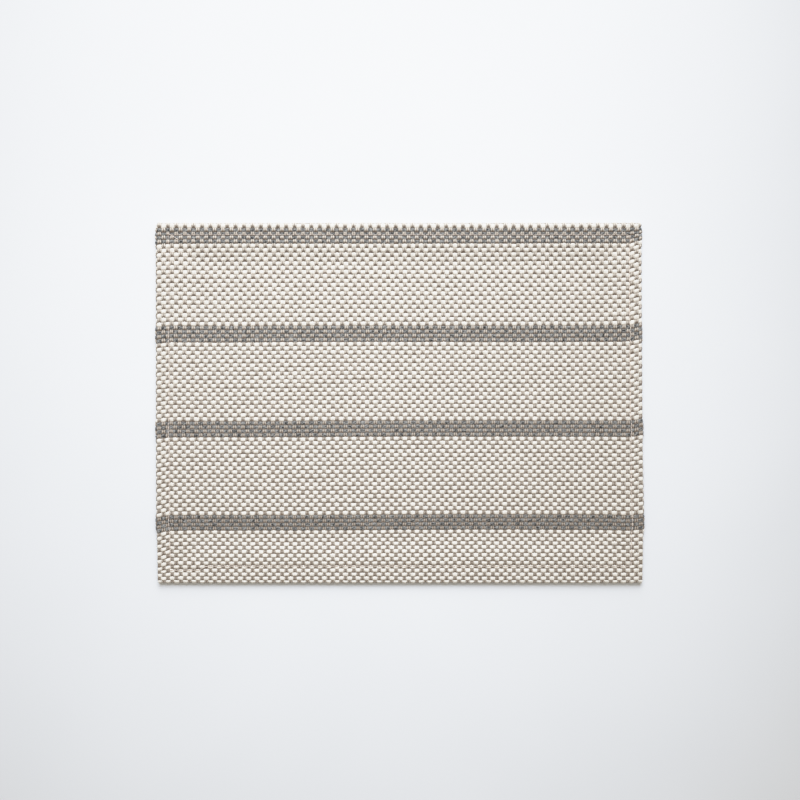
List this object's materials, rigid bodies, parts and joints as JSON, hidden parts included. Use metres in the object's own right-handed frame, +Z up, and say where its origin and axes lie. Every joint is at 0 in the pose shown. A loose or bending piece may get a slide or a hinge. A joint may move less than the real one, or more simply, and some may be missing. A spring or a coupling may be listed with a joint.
{
  "type": "placemat",
  "caption": "Flat rectangular table mat of thick woven cotton cloth in cream and taupe with grey stripes, its edges turned under and sewn down.",
  "frame": {"origin": "middle of the mat's rectangle, on the plane of the surface that it rests on", "axes": "+X along the width, parallel to the stripes; +Y along the depth, towards the far edge, which has the stripe nearest to it; +Z up, out of the face"},
  "size_m": [0.4514, 0.3346, 0.006],
  "materials": {
    "cloth": "thick plain weave, cream weft over taupe warp, matt",
    "cream_weft": "thick soft cotton yarn, cream, matt",
    "grey_weft": "thick soft cotton yarn in a grey melange, matt",
    "taupe_warp": "thin paired cotton yarn, taupe, matt",
    "sewing_thread": "twisted sewing thread, ecru"
  },
  "bodies": {
    "root": {"placemat_cloth": "cloth"}
  },
  "joints": []
}
